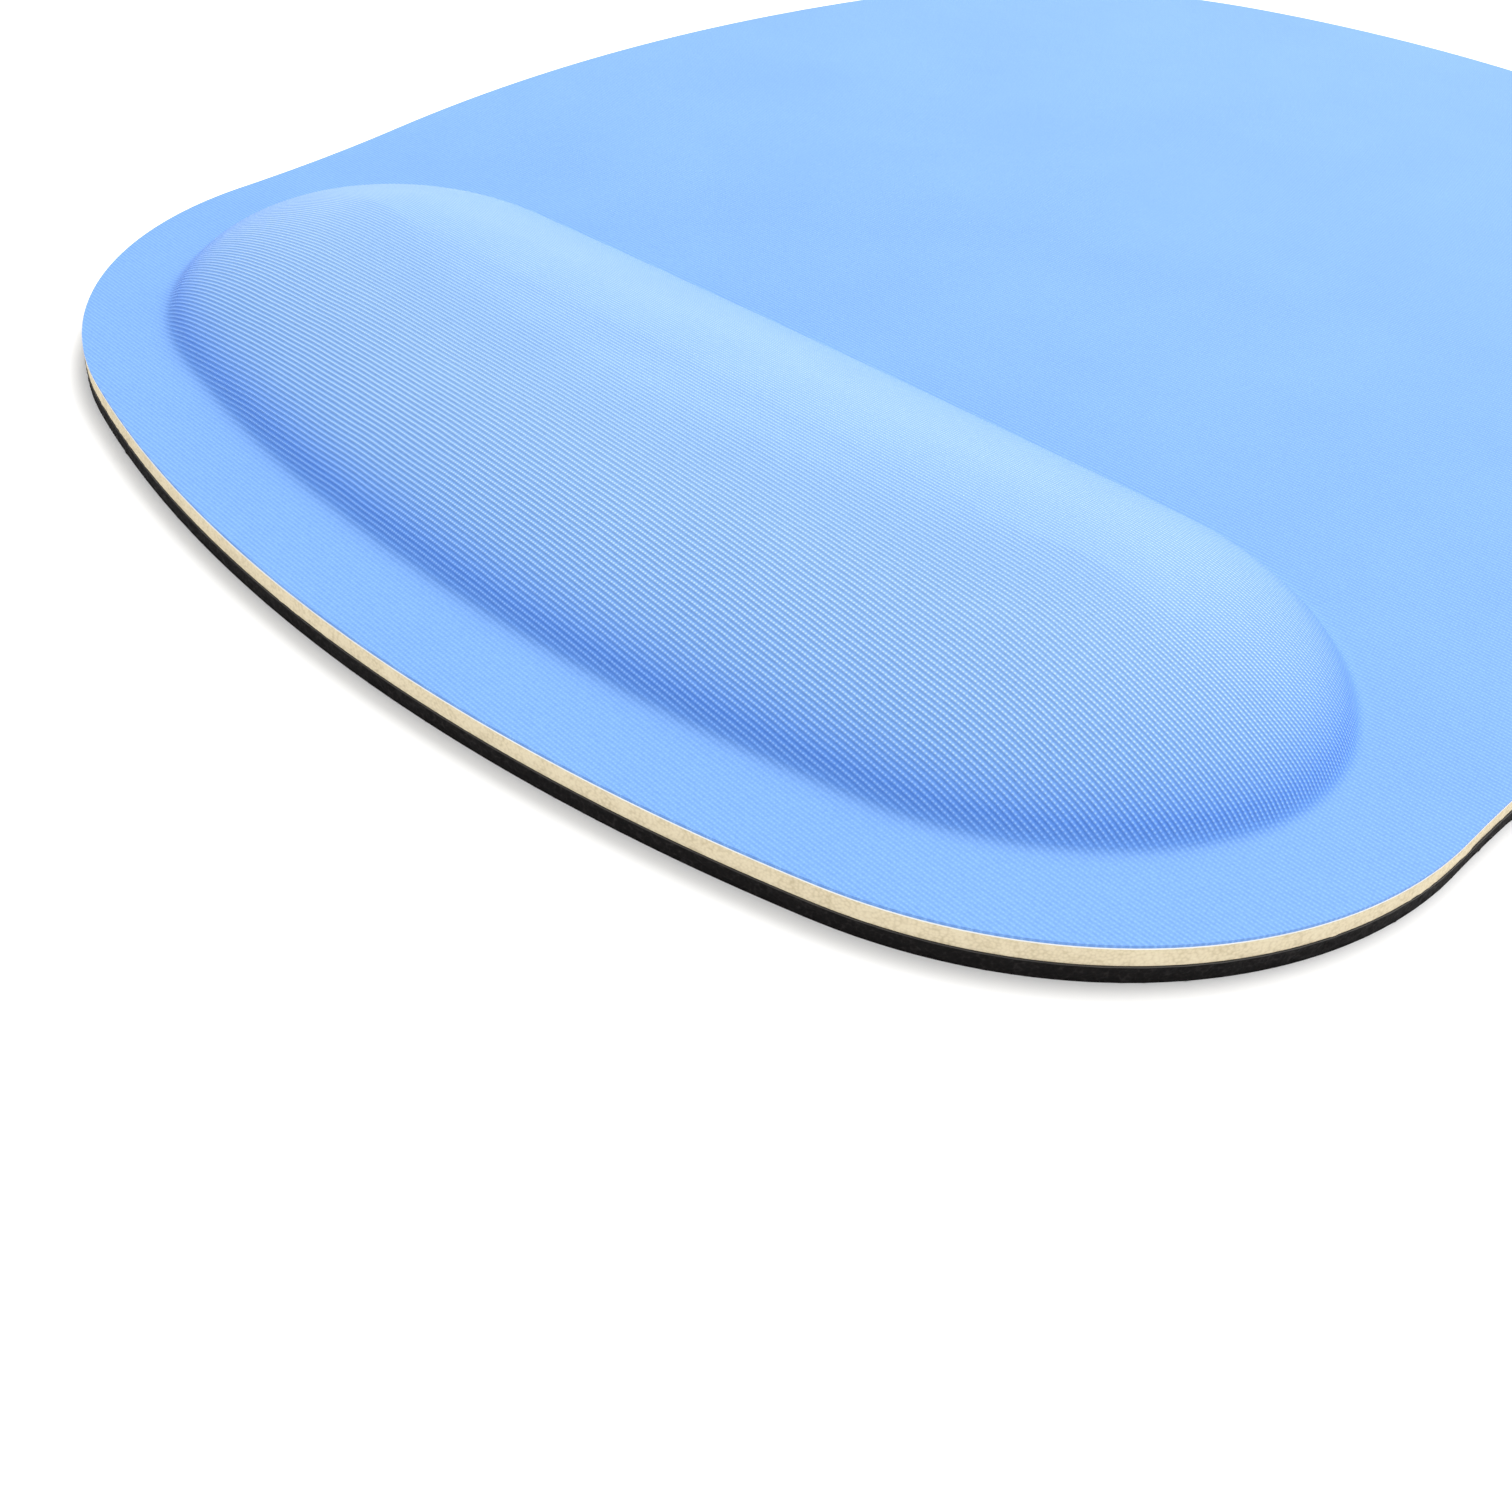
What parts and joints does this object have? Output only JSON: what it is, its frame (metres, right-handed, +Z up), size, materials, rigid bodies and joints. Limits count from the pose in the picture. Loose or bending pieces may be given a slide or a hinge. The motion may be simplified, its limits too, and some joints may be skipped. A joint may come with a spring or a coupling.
{
  "type": "mouse mat with gel wrist rest",
  "caption": "Round-cornered mouse mat with a soft pillow-shaped gel wrist rest along its front edge, knitted fabric cover over foam and an anti-slip rubber base.",
  "frame": {"origin": "centre of the footprint on the underside of the rubber base, on the plane that rests on the desk", "axes": "+Z up, +Y away from the user towards the back edge, +X to the user's right; the wrist rest is along the -Y edge"},
  "size_m": [0.195, 0.2564, 0.0166],
  "materials": {
    "rubber_base": "matt black closed-cell sponge rubber",
    "base_adhesive": "thin dry contact adhesive",
    "foam_layer": "ivory closed-cell foam sheet, die-cut edge",
    "gel_pouch_lower_film": "clear welded film",
    "gel_core": "soft translucent gel",
    "gel_pouch_upper_film": "clear welded film",
    "cover_bond_film": "hot-melt laminating film",
    "cover_fabric": "light blue fine-ribbed stretch knit"
  },
  "bodies": {
    "root": {"rubber_base": "rubber_base", "base_adhesive": "base_adhesive", "foam_layer": "foam_layer", "gel_pouch_lower_film": "gel_pouch_lower_film", "gel_core": "gel_core", "gel_pouch_upper_film": "gel_pouch_upper_film", "cover_bond_film": "cover_bond_film", "cover_fabric": "cover_fabric"}
  },
  "joints": []
}
